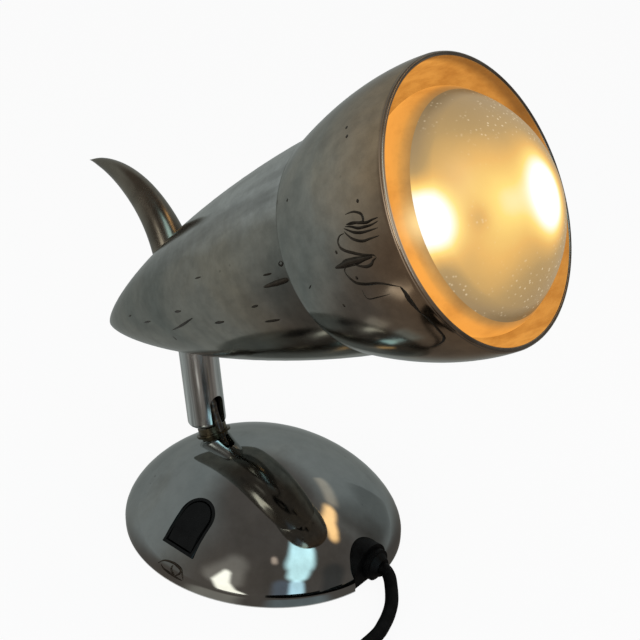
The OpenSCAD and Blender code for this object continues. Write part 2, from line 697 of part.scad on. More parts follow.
// cord, coil and plug
module cord() {
    color([0.03, 0.03, 0.03]) wire(curve(cord_route, 3), cord_r, 10);
}
module cord_coil() {
    color([0.03, 0.03, 0.03]) wire(coil_path, cord_r, 6);
}
module coil_tie() {
    low = coil_in - 3.2;
    w = coil_out - low + 0.4;
    color([0.08, 0.08, 0.08]) translate([coil_c[0], coil_c[1], 0]) rotate([0, 0, 90]) difference() {
        translate([low - 1, -3, 0]) cube([w + 2, 6, coil_step + cord_d + 2.6]);
        translate([low, -4, 1]) cube([w, 8, coil_step + cord_d + 0.6]);
    }
}
module plug_body() {
    color([0.04, 0.04, 0.04]) translate([tail_x, plug_y, plug_z]) {
        difference() {
            union() {
                rotate([-90, 0, 0]) cylinder(r1 = 4.2, r2 = 6, h = 12);
                translate([0, 11, 0]) linear_extrude(13.6, center = true)
                    polygon([[-8, 0], [8, 0], [13, 7], [13, 22], [9.5, 25.5],
                        [-9.5, 25.5], [-13, 22], [-13, 7]]);
            }
            rotate([-90, 0, 0]) translate([0, 0, -1]) cylinder(r = cord_r, h = 9);
            for (s = [-1, 1]) translate([s * 9, 30, 0]) rotate([-90, 0, 0]) cylinder(r = 2, h = 10);
        }
    }
}
module plug_pins() {
    color([0.8, 0.78, 0.72]) translate([tail_x, plug_y, plug_z]) for (s = [-1, 1])
        translate([s * 9, 30, 0]) rotate([-90, 0, 0]) {
            cylinder(r = 2, h = 24);
            translate([0, 0, 24 - eps]) cylinder(r1 = 2, r2 = 1.2, h = 1.2);
        }
}

base_dome();
base_plate();
plate_screws();
switch_body();
rocker();
switch_blades();
strain_relief();
cord_clamp();
clamp_screws();
terminal_block();
inner_leads();
neck();
neck_washer();
neck_nut();
stem_lead();
stem_tube();
stem_insert();
pivot_pin();
stem_nut();
rear_shell();
front_shade();
shade_screws();
horn_handle();
horn_screw();
holder_strap();
strap_screws();
holder_screws();
lampholder();
holder_shell();
holder_contact();
head_lead();
bulb_glass();
bulb_cap();
bulb_contact();
cord();
cord_coil();
coil_tie();
plug_body();
plug_pins();
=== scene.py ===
"""Looks of the wall lamp: camera, light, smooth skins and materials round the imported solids."""
import json
import math

import bmesh
import bpy
import numpy as np
from mathutils import Matrix, Vector


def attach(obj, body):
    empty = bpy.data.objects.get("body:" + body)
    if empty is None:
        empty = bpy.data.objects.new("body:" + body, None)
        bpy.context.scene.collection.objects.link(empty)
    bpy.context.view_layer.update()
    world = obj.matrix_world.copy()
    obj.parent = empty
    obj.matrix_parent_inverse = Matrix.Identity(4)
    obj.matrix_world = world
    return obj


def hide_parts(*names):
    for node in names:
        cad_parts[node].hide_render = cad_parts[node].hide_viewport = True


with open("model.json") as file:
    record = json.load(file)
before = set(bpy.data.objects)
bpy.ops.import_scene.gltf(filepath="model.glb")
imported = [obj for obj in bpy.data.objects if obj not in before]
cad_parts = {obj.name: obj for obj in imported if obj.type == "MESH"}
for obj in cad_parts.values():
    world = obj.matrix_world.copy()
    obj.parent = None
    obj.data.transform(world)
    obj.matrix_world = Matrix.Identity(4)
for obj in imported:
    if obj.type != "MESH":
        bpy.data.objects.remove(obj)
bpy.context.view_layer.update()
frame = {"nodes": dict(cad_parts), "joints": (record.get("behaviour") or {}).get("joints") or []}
NODES = frame["nodes"]
JOINTS = {joint["name"]: joint for joint in frame["joints"]}
MM = 0.001

# Camera: place, axes and lens of the photograph
CAMERA_AT = Vector((0.23443, -0.23782, 0.23755))
CAMERA_X = Vector((0.75521, 0.65522, 0.01846))
CAMERA_Y = Vector((-0.27108, 0.28656, 0.91891))
CAMERA_Z = Vector((0.5968, -0.69898, 0.39403))
CAMERA_LENS = 50.738

# Dome of the base: an oval hill with a soft superellipse section
DOME_A = 63.7 * MM
DOME_B = 56.4 * MM
DOME_H = 38.2 * MM
DOME_RIM = 2.6 * MM
DOME_N = 1.655  # power of the distance from the middle
DOME_M = 1.5  # power of the height

# Neck and head; in the head's own frame Z runs from its tail to its mouth and -X points up
PIVOT = Vector(JOINTS["tilt"]["pos_m"])
NECK_LEAN = math.radians(23.5)
STEM_LEAN = math.radians(7.2)
STEM_REACH = 51.4 * MM
HEAD_RISE = math.radians(26.8)
CROSS_S = 66.6 * MM  # from the tail to where the stem's axis meets the head's
REAR_LEN = 170 * MM
REAR_R = 40.3 * MM
REAR_K = 1.03  # stretch of the rear casting's ogive
REAR_P = 1.6  # inner power of the ogive
REAR_Q = 1.31  # outer power, as a root
SHADE_LEN = 53 * MM
SHADE_FLARE = 7.9 * MM
FLARE_POWER = 0.9
SHADE_TUCK = 0.7 * MM  # how far the rim turns in again
SHADE_WALL = 2.4 * MM
SHADE_THINNING = 0.8 * MM  # how much thinner the wall is at the rim
FLARE_LEN = 43 * MM
FLANGE_R = 30 * MM
FLANGE_T = 3 * MM

# Horn handle
HORN_S = 64.6 * MM  # from the head's tail
HORN_SUNK = 1.9 * MM
HORN_ROOT = 0.4 * MM
HORN_ARC = 53.3 * MM
HORN_SWEEP = math.radians(70)
HORN_R = 8.3 * MM
HORN_TAPER = 0.61
HORN_SLIM_FROM = 0.4
HORN_TIP = 0.86
HORN_BLUNT = 0.02

# Bulb
BULB_R = 40 * MM
BULB_DROP = 1.6 * MM
BULB_FRONT = 242 * MM
BULB_LEN = 114 * MM
BULB_NECK = 88 * MM
BULB_NECK_R = 12.6 * MM
BULB_GLASS = 1 * MM
CAP_LEN = 22.5 * MM
FACE_R = 36.7 * MM
FACE_CAP = 19 * MM
# Side of the bulb: share of BULB_NECK behind the front, and mm inside BULB_R
BULB_SIDE = [(0.25, 1.1), (0.295, 0), (0.34, 0.4), (0.386, 1.8), (0.477, 5), (0.58, 9.4), (0.682, 14),
             (0.784, 18.2), (0.886, 21.8), (0.955, 24)]

# Lead in the stem's slot, in mm in the neck's own frame
LEAD_R = 1.8 * MM
LEAD_ROUTE = [(4.95, 0, -28), (4.95, 0, -23), (4.95, 0, -15), (4.95, 0, -11.9), (5.05, 0, -7),
              (5.05, 0, -3), (5.55, 0, 0), (5.3, 0, 2.4)]

# Cord: its visible route, then the put-away coil, in mm
CORD_D = 5.2 * MM
CORD_ROUTE = [(34, 0, 7), (48, 0, 7), (60, 0, 7), (66.7, 0, 7), (70.7, -1.3, 6.3), (74.7, -5, 4.8),
              (78.7, -10, 3.6), (81.6, -15.5, 3.2), (83.8, -21.5, 3.2), (85.4, -28.5, 3.4),
              (85.6, -42, 3.8), (84.5, -56, 3.8), (83.6, -68, 3.8), (83.4, -76.8, 3.8), (83.4, -82.8, 3.8)]
COIL_AT = (125, -88)
COIL_TURNS = 4
COIL_PITCH = 5.8
COIL_STEP = 5.75
COIL_LOW = 3.8
COIL_LIFT = 0.5  # turns in which it climbs to the upper layer
COIL_CROSS = 0.75  # turns in which it then crosses the layer below
COIL_OUT = 41.6
COIL_END = 8.5
COIL_TAIL = 42
TAIL_STEPS = 7
PLUG_Z = 7

# Limits within which a skin follows the true surface: distance, and cosine between the normals
SKIN_REACH = 0.12 * MM
SKIN_FACING = 0.93


# Meshes

def shown(name, data):
    """A new object in the scene."""
    obj = bpy.data.objects.new(name, data)
    bpy.context.scene.collection.objects.link(obj)
    return obj


def settle(data, matrix):
    """Keeps a mesh's own coordinates for its material, then puts it in its place."""
    place = np.zeros(len(data.vertices) * 3, dtype=np.float32)
    data.vertices.foreach_get("co", place)
    data.attributes.new("own_place", "FLOAT_VECTOR", "POINT").data.foreach_set("vector", place)
    data.transform(matrix)


def mesh_piece(name, verts, faces, matrix=Matrix()):
    """A smooth mesh object with its seams closed and its faces turned outwards."""
    data = bpy.data.meshes.new(name)
    data.from_pydata([tuple(v) for v in verts], [], faces)
    bm = bmesh.new()
    bm.from_mesh(data)
    bmesh.ops.remove_doubles(bm, verts=bm.verts, dist=1e-7)
    bmesh.ops.recalc_face_normals(bm, faces=bm.faces)
    bm.to_mesh(data)
    bm.free()
    data.polygons.foreach_set("use_smooth", [True] * len(data.polygons))
    settle(data, matrix)
    return shown(name, data)


def revolve(name, profile, sides, matrix, closed):
    """A profile of (radius, height) points turned round the matrix's Z axis."""
    count = len(profile)
    verts = []
    for k in range(sides):
        turn = 2 * math.pi * k / sides
        verts += [(r * math.cos(turn), r * math.sin(turn), s) for r, s in profile]
    spans = count if closed else count - 1
    faces = []
    for k in range(sides):
        here, there = k * count, (k + 1) % sides * count
        faces += [(here + i, there + i, there + (i + 1) % count, here + (i + 1) % count)
                  for i in range(spans)]
    return mesh_piece(name, verts, faces, matrix)


def tube(name, points, radii, sides, side_axis, matrix=Matrix()):
    """A round tube along points, closed at both ends."""
    points = [Vector(p) for p in points]
    last = len(points) - 1
    verts = []
    for i, (point, radius) in enumerate(zip(points, radii)):
        along = (points[min(last, i + 1)] - points[max(0, i - 1)]).normalized()
        across = Vector(side_axis).cross(along).normalized()
        up = along.cross(across)
        for k in range(sides):
            turn = 2 * math.pi * k / sides
            verts.append(point + radius * (math.cos(turn) * across + math.sin(turn) * up))
    faces = []
    for i in range(last):
        here, there = i * sides, (i + 1) * sides
        faces += [(here + k, there + k, there + (k + 1) % sides, here + (k + 1) % sides) for k in range(sides)]
    faces += [tuple(range(sides)), tuple(last * sides + k for k in range(sides))]
    return mesh_piece(name, verts, faces, matrix)


def smooth_curve(points, steps):
    """Points of a smooth curve through the given ones."""
    points = [Vector(p) for p in points]
    last = len(points) - 1
    out = []
    for i in range(last):
        a, b, c, d = points[max(0, i - 1)], points[i], points[i + 1], points[min(last, i + 2)]
        for j in range(steps):
            t = j / steps
            out.append(0.5 * (2 * b + (c - a) * t + (2 * a - 5 * b + 4 * c - d) * t ** 2
                              + (3 * b - a - 3 * c + d) * t ** 3))
    return out + [points[-1]]


def skin(node, name, surface, matrix=Matrix()):
    """A copy of a CAD node whose shading follows the true curved surface instead of its narrow facets.

    surface takes points as rows, and gives each one's distance to the surface and the outward normal there.
    """
    data = NODES[node].data.copy()
    data.name = name
    data.transform(matrix.inverted())
    loops = len(data.loops)
    corner = np.zeros(loops, dtype=np.int32)
    data.loops.foreach_get("vertex_index", corner)
    place = np.zeros(len(data.vertices) * 3)
    data.vertices.foreach_get("co", place)
    place = place.reshape(-1, 3)[corner]
    old = np.zeros(loops * 3, dtype=np.float32)
    data.corner_normals.foreach_get("vector", old)
    old = old.reshape(-1, 3)
    gap, normal = surface(place)
    on_it = (np.abs(gap) < SKIN_REACH) & ((old * normal).sum(1) > SKIN_FACING)
    normals = np.where(on_it[:, None], normal, old) @ np.array(matrix.to_3x3()).T
    settle(data, matrix)
    data.polygons.foreach_set("use_smooth", [True] * len(data.polygons))
    data.normals_split_custom_set(normals.tolist())
    data.materials.clear()
    obj = shown(name, data)
    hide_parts(node)
    return obj


# Forms, as in the solids

def rear_r(s):
    """Outer radius of the rear casting at a distance from its tail."""
    ahead = np.maximum(0, 1 - s / (REAR_LEN * REAR_K))
    return REAR_R * np.power(1 - np.power(ahead, REAR_P), 1 / REAR_Q)


def shade_r(s):
    """Outer radius of the front casting at a distance from the crease."""
    flare = SHADE_FLARE * math.sin(math.pi / 2 * min(1, s / FLARE_LEN)) ** FLARE_POWER
    tuck = SHADE_TUCK * max(0, (s - FLARE_LEN) / (SHADE_LEN - FLARE_LEN)) ** 2
    return float(rear_r(REAR_LEN)) + flare - tuck


def shade_in(s):
    """Inner radius of the front casting, whose wall gets thinner towards the rim."""
    return shade_r(s) - SHADE_WALL + SHADE_THINNING * s / SHADE_LEN


def head_r(s):
    """Outer radius of the head at a distance from its tail."""
    return float(rear_r(s)) if s < REAR_LEN else shade_r(s - REAR_LEN)


def rear_surface(p):
    """Distance to the rear casting's outside, and the normal there."""
    r = np.maximum(1e-9, np.hypot(p[:, 0], p[:, 1]))
    s = np.clip(p[:, 2], 0.01 * MM, REAR_LEN)
    step = 0.005 * MM
    slope = (rear_r(s + step) - rear_r(s - step)) / (2 * step)
    normal = np.column_stack((p[:, 0] / r, p[:, 1] / r, -slope))
    return r - rear_r(s), normal / np.linalg.norm(normal, axis=1)[:, None]


def dome_surface(p):
    """Distance to the dome's outside, and the normal there."""
    x = p[:, 0] / DOME_A
    y = p[:, 1] / DOME_B
    rho = np.maximum(1e-6, np.hypot(x, y))
    z = np.clip((p[:, 2] - DOME_RIM) / (DOME_H - DOME_RIM), 0, 1)
    ring = DOME_N * rho ** (DOME_N - 2)
    slope = DOME_M * z ** (DOME_M - 1) / (DOME_H - DOME_RIM)
    normal = np.column_stack((ring * x / DOME_A, ring * y / DOME_B, slope))
    length = np.linalg.norm(normal, axis=1)
    return (rho ** DOME_N + z ** DOME_M - 1) / length, normal / length[:, None]


def frame_at(place, turn):
    """A frame at a place, turned about Y."""
    return Matrix.Translation(place) @ Matrix.Rotation(turn, 4, "Y")


NECK_FRAME = frame_at(PIVOT, -NECK_LEAN)
HEAD_AT = PIVOT + STEM_REACH * Vector((-math.sin(STEM_LEAN), 0, math.cos(STEM_LEAN)))
HEAD_FRAME = frame_at(HEAD_AT, math.pi / 2 - HEAD_RISE) @ Matrix.Translation((0, 0, -CROSS_S))
BULB_FRAME = HEAD_FRAME @ Matrix.Translation((BULB_DROP, 0, 0))


# Camera

def make_camera():
    """The photograph's camera."""
    data = bpy.data.cameras.new("camera")
    data.sensor_width = 36
    data.lens = CAMERA_LENS
    data.clip_start = 0.01
    obj = shown("camera", data)
    turn = Matrix((CAMERA_X, CAMERA_Y, CAMERA_Z)).transposed()
    obj.matrix_world = Matrix.Translation(CAMERA_AT) @ turn.to_4x4()
    bpy.context.scene.camera = obj


# Cord

def coil_point(u):
    """Centre of the coil's tube after u turns: in on the lower layer, then out on the upper one."""
    inner = COIL_OUT - COIL_TURNS * COIL_PITCH
    lifted = COIL_TURNS + COIL_LIFT
    crossed = lifted + COIL_CROSS
    if u < lifted:
        r = COIL_OUT - COIL_PITCH * u
    elif u < crossed:
        r = inner - COIL_PITCH / 2 + 2 * COIL_PITCH * (u - lifted)
    else:
        r = inner + COIL_PITCH + COIL_PITCH * (u - crossed)
    climb = min(1, max(0, (u - COIL_TURNS) / COIL_LIFT))
    z = COIL_LOW + COIL_STEP * (1 - math.cos(math.pi * climb)) / 2
    turn = math.pi + 2 * math.pi * u
    return COIL_AT[0] + r * math.cos(turn), COIL_AT[1] + r * math.sin(turn), z


def make_cord():
    """The flex as one tube: visible route, coil and the tail into the plug."""
    turn_steps = 32
    coil = [coil_point(i / turn_steps) for i in range(int(turn_steps * COIL_END) + 1)]
    tail_x, tail_y, tail_z = coil[-1]
    tail = []
    for i in range(1, TAIL_STEPS + 1):
        fall = (1 - math.cos(math.pi * min(1, i / (TAIL_STEPS - 1)))) / 2
        tail.append((tail_x, tail_y + COIL_TAIL * i / TAIL_STEPS, tail_z + (PLUG_Z - tail_z) * fall))
    route = smooth_curve(CORD_ROUTE, steps=6)
    line = [Vector(p) * MM for p in route + coil + tail]
    obj = tube("cord_flex", line, [CORD_D / 2] * len(line), sides=20, side_axis=(0, 0, 1))
    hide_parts("cord", "cord_coil")
    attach(obj, "base")
    return obj


make_camera()
cord = make_cord()


# Pieces

def paint_faces(obj, matrix, slot_of):
    """Gives each face the material slot that slot_of picks by place and normal in the piece's own frame."""
    back = matrix.inverted()
    turn = back.to_3x3()
    for polygon in obj.data.polygons:
        polygon.material_index = slot_of(back @ polygon.center, turn @ polygon.normal)


def shade_slot(place, normal):
    """Material slot by where a face of the shade is and looks: 0 outside, 1 inside, 2 on the rim."""
    rim_facing, flange_facing, wall_facing = 0.4, 0.7, -0.3
    if normal.z > rim_facing and place.z > REAR_LEN + SHADE_LEN - SHADE_WALL / 2:
        return 2
    outward = normal.dot(Vector((place.x, place.y, 0)).normalized())
    on_flange = normal.z > flange_facing and place.z < REAR_LEN + 2 * FLANGE_T
    return int(outward < wall_facing or on_flange)


def make_shade():
    """The flared front casting, with a rounded rim and a crisp crease where it meets the rear one."""
    count, rim_count = 48, 12
    crisp = 0.05 * MM
    stations = [SHADE_LEN * i / count for i in range(count)]
    middle = (shade_r(SHADE_LEN) + shade_in(SHADE_LEN)) / 2
    half = (shade_r(SHADE_LEN) - shade_in(SHADE_LEN)) / 2
    rim_from = SHADE_LEN - half
    crease = [(FLANGE_R, 0), (shade_r(0) - crisp, 0), (shade_r(0), 0), (shade_r(crisp), crisp)]
    outer = [(shade_r(s), s) for s in stations[1:] if s < rim_from]
    turns = [math.pi * i / rim_count for i in range(rim_count + 1)]
    rim = [(middle + half * math.cos(a), rim_from + half * math.sin(a)) for a in turns]
    inner = [(shade_in(s), s) for s in stations if FLANGE_T < s < rim_from]
    flange = [(shade_in(FLANGE_T), FLANGE_T), (FLANGE_R, FLANGE_T)]
    profile = [(r, REAR_LEN + s) for r, s in crease + outer + rim + inner[::-1] + flange]
    obj = revolve("front_shade_skin", profile, 192, HEAD_FRAME, closed=True)
    paint_faces(obj, HEAD_FRAME, shade_slot)
    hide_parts("front_shade")
    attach(obj, "stem")
    return obj


def horn_point(t):
    """Centre of the horn at a share of its length, on an arc that rises and leans back."""
    seat = float(rear_r(HORN_S)) - HORN_SUNK
    turn = HORN_SWEEP * t
    return -seat - HORN_ROOT - HORN_ARC * math.sin(turn), 0, HORN_S - HORN_ARC * (1 - math.cos(turn))


def horn_radius(t):
    """Radius of the horn at a share of its length, with a rounded tip."""
    slim = 1 - HORN_TAPER * t - max(0, t - HORN_SLIM_FROM) ** 2
    tip = 1 - (max(0, t - HORN_TIP) / (1 - HORN_TIP)) ** 2
    return HORN_R * slim * math.sqrt(max(HORN_BLUNT, tip))


def make_horn():
    """The horn-shaped handle, with closer rings round its tip."""
    count, tip_count = 60, 14
    stations = [HORN_TIP * i / count for i in range(count + 1)]
    stations += [HORN_TIP + (1 - HORN_TIP) * math.sin(math.pi / 2 * i / tip_count)
                 for i in range(1, tip_count + 1)]
    seat = horn_point(0)
    points = [(seat[0] + HORN_ROOT, 0, HORN_S)] + [horn_point(t) for t in stations]
    radii = [HORN_R] + [horn_radius(t) for t in stations]
    obj = tube("horn_handle_skin", points, radii, sides=64, side_axis=(0, 1, 0), matrix=HEAD_FRAME)
    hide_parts("horn_handle")
    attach(obj, "stem")
    return obj


def bulb_slot(place, _):
    """Material slot on the bulb: 0 on its face, 1 on its side."""
    return int(place.z < BULB_FRONT - FACE_CAP)


def make_bulb():
    """The reflector bulb: frosted face in front, silvered sides behind, and a coarser inside."""
    count, steps, coarse = 32, 4, 4
    ball = (FACE_R ** 2 + FACE_CAP ** 2) / (2 * FACE_CAP)
    turns = [math.asin(FACE_R / ball) * i / count for i in range(count + 1)]
    face = [(ball * math.sin(a), BULB_FRONT - ball * (1 - math.cos(a))) for a in turns]
    side = [(BULB_R - inset * MM, BULB_FRONT - BULB_NECK * share) for share, inset in BULB_SIDE]
    side += [(BULB_NECK_R, BULB_FRONT - BULB_NECK), (BULB_NECK_R, BULB_FRONT - BULB_LEN + CAP_LEN)]
    line = smooth_curve([(r, 0, s) for r, s in face[-2:] + side], steps)[steps:]
    outer = face + [(p.x, p.z) for p in line[1:]]
    inner = [(max(0, r - BULB_GLASS), min(s, BULB_FRONT - BULB_GLASS)) for r, s in outer[::coarse]]
    obj = revolve("bulb_glass_skin", outer + inner[::-1], 128, BULB_FRAME, closed=False)
    paint_faces(obj, BULB_FRAME, bulb_slot)
    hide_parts("bulb_glass")
    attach(obj, "stem")
    return obj


def make_lead():
    """The brown lead that leaves the stem by its slot."""
    line = smooth_curve([Vector(p) * MM for p in LEAD_ROUTE], steps=8)
    radii = [LEAD_R] * len(line)
    obj = tube("stem_lead_skin", line, radii, sides=24, side_axis=(0, 1, 0), matrix=NECK_FRAME)
    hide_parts("stem_lead")
    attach(obj, "neck")
    return obj


# Stains and scratches: width in mm, then the line they follow. On the head a point is the distance from its tail
# in mm and the angle round it in degrees; on the front of the dome it is x and z in mm.
MARK_SPREAD = 1.3  # drawn width over the stated one
MARK_TAPER = 2.5  # a mark widens over 1 / MARK_TAPER of its length from each end
MARK_END = 0.04
MARK_SUNK = 0.02 * MM
MARK_CREST = 0.05 * MM
PIT_WIDTH = 1.1
PIT_HALF = 0.5
HEAD_MARKS = [
    (0.8, [(207.5, -101.3), (209.4, -101.4), (211.4, -101.1), (213.4, -99.8), (213.9, -98.3), (213.4, -97.1),
           (211.2, -97.4), (208.5, -97.6), (207, -98)]),
    (0.8, [(207, -98), (209.4, -98), (211.9, -97.2), (214.7, -96.4), (216.9, -96.7), (219, -96.8)]),
    (0.8, [(206.4, -97.5), (208.7, -96.8), (211.1, -95.6), (213.6, -95.3), (216.2, -95.2), (218.8, -95.7)]),
    (0.8, [(205.8, -97), (207.5, -95.8), (209.6, -94.5), (212, -93.8), (214.9, -93.6), (218.1, -93.6)]),
    (0.8, [(205.6, -96), (206.7, -94.3), (208.5, -92.4), (211.5, -91), (214.5, -91), (217.7, -91)]),
    (0.9, [(205.4, -95.4), (203.5, -95.2), (202.3, -94.1), (201.9, -92.9), (202.4, -90.9), (204.4, -89.3),
           (207.1, -87.9), (209.8, -86.6), (211.8, -86), (213.5, -85.5), (214.2, -84.6)]),
    (0.9, [(214.2, -84.4), (212.7, -83.8), (211.5, -82.7), (209.4, -82.4), (207.1, -83.2), (204.8, -84.5)]),
    (2.0, [(213, -85.1), (210, -85.3), (205.9, -85.3), (202.6, -85.4), (199.7, -85), (196.9, -84.9)]),
    (0.9, [(202.3, -84.8), (200.5, -83.3), (200.6, -81.4), (201.6, -79.2), (203.3, -77.5), (206.5, -76.5),
           (209.8, -76), (212.7, -75), (215, -73.7), (217.2, -72.5)]),
    (1.4, [(217.2, -72.5), (217.6, -69.9), (217.5, -67), (217.7, -63.7), (217.9, -60.4)]),
    (0.9, [(217.9, -60.4), (218.7, -56.4), (218.5, -51.4), (217.6, -46.6), (214.6, -43.8), (210.4, -42.6)]),
    (0.4, [(203.5, -74.8), (203.7, -71.1), (208, -70.8), (212.7, -70.9)]),
    (1.5, [(156.3, -84.7), (162, -84.8), (168, -84.9), (169.6, -84.9)]),
    (0.6, [(158.2, -90.2), (162.9, -89.8)]),
    (0.5, [(168.6, -94), (167.6, -92.8), (168.6, -91.8), (169.7, -92.8), (168.8, -94)]),
    (0.8, [(83.2, -70.4), (92.1, -73.1), (98.7, -75.5), (104.9, -77.6)]),
    (0.7, [(45, -92.5), (49, -92.5)]), (0.7, [(60.6, -81), (68, -81.4)]),
    (0.9, [(117.8, -71.4), (124.6, -71.6)]),
    (0.8, [(93.5, -84.5), (99, -84.2)]), (0.7, [(145, -76.4), (149, -76.6)]), (0.6, [(79, -64), (79.4, -59.6)]),
    (0.8, [(146.8, -66.8), (155, -66.4)]), (0.5, [(117, -100.8), (121.5, -100.4)]),
    (0.5, [(179.4, -79.1), (181.6, -80.6)]),
]
HEAD_PITS = [(207.8, -133.7), (208.9, -129.4), (213.2, -104.2), (178.6, -117.7), (199.9, -90.1), (203.9, -79.5),
             (192.1, -69.9)]
DOME_MARKS = [
    (0.8, [(-3.7, 4.7), (-1.4, 6.7), (1.2, 7.6), (4.4, 8.0), (6.7, 7.8), (8.5, 7.3), (9.6, 6.2), (10.3, 4.9),
           (10.8, 3.9)]),
    (0.8, [(-1.9, 5.1), (-0.3, 4.2), (2.7, 3.9), (5.6, 3.7), (8.3, 3.5), (10.4, 3.5)]),
    (0.8, [(4.3, 7.2), (4.0, 6.0), (4.7, 4.9), (6.2, 4.3)]),
    (0.8, [(5.2, 7.6), (7.5, 7.3), (8.8, 6.7), (8.3, 5.4), (6.6, 3.9)]),
]


def head_spot(s, phi):
    """Place and normal on the head's outside."""
    s, phi = s * MM, math.radians(phi)
    r, step = head_r(s), 0.05 * MM
    slope = (head_r(s + step) - head_r(s - step)) / (2 * step)
    out = Vector((math.cos(phi), math.sin(phi), 0))
    return r * out + Vector((0, 0, s)), (out - Vector((0, 0, slope))).normalized()


def dome_spot(x, z):
    """Place and normal on the front of the dome."""
    x, z = x * MM, z * MM
    rho = (1 - max(0, (z - DOME_RIM) / (DOME_H - DOME_RIM)) ** DOME_M) ** (1 / DOME_N)
    place = Vector((x, -DOME_B * math.sqrt(rho ** 2 - (x / DOME_A) ** 2), z))
    return place, Vector(dome_surface(np.array([place]))[1][0])


def make_marks(name, lines, spot, matrix, body):
    """Low ridges along lines on a surface, tapering out at both ends."""
    verts, faces = [], []
    for width, line in lines:
        spots = [spot(p.x, p.y) for p in smooth_curve([(*p, 0) for p in line], steps=6)]
        last = len(spots) - 1
        first = len(verts)
        for i, (place, normal) in enumerate(spots):
            along = spots[min(last, i + 1)][0] - spots[max(0, i - 1)][0]
            side = normal.cross(along).normalized()
            taper = min(1, MARK_TAPER * i / last, MARK_TAPER * (last - i) / last)
            half = MARK_SPREAD * width * MM / 2 * math.sqrt(max(MARK_END, taper)) * side
            foot = place - MARK_SUNK * normal
            here = len(verts)
            verts += [foot - half, place + MARK_CREST * normal, foot + half]
            if i:
                back = here - 3
                faces += [(back, here, here + 1, back + 1), (back + 1, here + 1, here + 2, back + 2),
                          (back + 2, here + 2, here, back)]
        faces += [(first, first + 1, first + 2), (here, here + 1, here + 2)]
    obj = mesh_piece(name, verts, faces, matrix)
    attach(obj, body)
    return obj


pit_lines = [(PIT_WIDTH, [(s - PIT_HALF, phi), (s + PIT_HALF, phi)]) for s, phi in HEAD_PITS]
head_marks = make_marks("head_marks", HEAD_MARKS + pit_lines, head_spot, HEAD_FRAME, "stem")
dome_marks = make_marks("dome_marks", DOME_MARKS, dome_spot, Matrix(), "base")
dome = skin("base_dome", "base_dome_skin", dome_surface)
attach(dome, "base")
rear = skin("rear_shell", "rear_shell_skin", rear_surface, HEAD_FRAME)
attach(rear, "stem")
shade = make_shade()
horn = make_horn()
bulb = make_bulb()
lead = make_lead()


# Materials

def feed(tree, socket, value):
    """Joins another node's output to a socket, or sets a constant on it."""
    if isinstance(value, bpy.types.NodeSocket):
        tree.links.new(value, socket)
    else:
        socket.default_value = value


def add_node(tree, kind, inputs=None, **settings):
    """A new shader node with its settings and inputs."""
    node = tree.nodes.new("ShaderNode" + kind)
    for key, value in settings.items():
        setattr(node, key, value)
    for key, value in (inputs or {}).items():
        feed(tree, node.inputs[key], value)
    return node


def empty_tree(owner):
    """The cleared node tree of a material or a world."""
    owner.use_nodes = True
    owner.node_tree.nodes.clear()
    return owner.node_tree


class Shader:
    """A material's nodes, with short calls to add and join them."""

    def __init__(self, name, own_place=False, **values):
        self.material = bpy.data.materials.new(name)
        self.tree = empty_tree(self.material)
        self.bsdf = self.node("BsdfPrincipled")
        self.set(**values)
        self.node("OutputMaterial", {"Surface": self.bsdf.outputs[0]})
        if own_place:
            self.place = self.node("Attribute", attribute_name="own_place").outputs["Vector"]
        else:
            self.place = self.node("TexCoord").outputs["Object"]

    def node(self, kind, inputs=None, **settings):
        return add_node(self.tree, kind, inputs, **settings)

    def set(self, **values):
        """Feeds the main shader's sockets, with _ for a space in a name."""
        for key, value in values.items():
            feed(self.tree, self.bsdf.inputs[key.replace("_", " ")], value)

    def axis(self, name):
        """The place along X, Y or Z."""
        return self.node("SeparateXYZ", {0: self.place}).outputs[name]

    def stretched(self, scale, vector=None):
        return self.node("Mapping", {"Vector": vector or self.place, "Scale": scale}).outputs[0]

    def noise(self, scale, detail, rough=0.55, warp=0, vector=None):
        inputs = {"Vector": vector or self.place, "Scale": scale, "Detail": detail, "Roughness": rough,
                  "Distortion": warp}
        return self.node("TexNoise", inputs).outputs[0]

    def sway(self, scale, detail, amount):
        """Noise to both sides of 0."""
        return self.maths("MULTIPLY", self.maths("SUBTRACT", self.noise(scale, detail), 0.5), amount)

    def cells(self, scale):
        return self.node("TexVoronoi", {"Vector": self.place, "Scale": scale}).outputs["Distance"]

    def ramp(self, value, *stops):
        """Colours or greys at places from 0 to 1."""
        node = self.node("ValToRGB", {"Fac": value})
        points = node.color_ramp.elements
        while len(points) < len(stops):
            points.new(0.5)
        for point, (place, colour) in zip(points, stops):
            point.position = place
            point.color = (*colour, 1) if isinstance(colour, tuple) else (colour, colour, colour, 1)
        return node.outputs[0]

    def maths(self, kind, a, b=0.0):
        return self.node("Math", {0: a, 1: b}, operation=kind).outputs[0]

    def vector_maths(self, kind, a, b):
        return self.node("VectorMath", {0: a, 1: b}, operation=kind).outputs["Vector"]

    def length(self, vector):
        return self.node("VectorMath", {0: vector}, operation="LENGTH").outputs["Value"]

    def span(self, value, low, high, top=1.0):
        """0 where value is at low, going to top at high."""
        inputs = {"Value": value, "From Min": low, "From Max": high, "To Max": top}
        return self.node("MapRange", inputs).outputs[0]

    def bell(self, away):
        """1 where away is 0, falling to about 0 at 2."""
        return self.maths("EXPONENT", self.maths("MULTIPLY", self.maths("POWER", away, 2.0), -1.0))

    def mix(self, share, a, b, blend="MIX"):
        node = self.node("Mix", {0: share}, data_type="RGBA", blend_type=blend)
        for index, value in ((6, a), (7, b)):
            feed(self.tree, node.inputs[index], (*value, 1) if isinstance(value, tuple) else value)
        return node.outputs[2]

    def bump(self, height, distance, strength):
        inputs = {"Height": height, "Distance": distance, "Strength": strength}
        self.set(Normal=self.node("Bump", inputs).outputs[0])


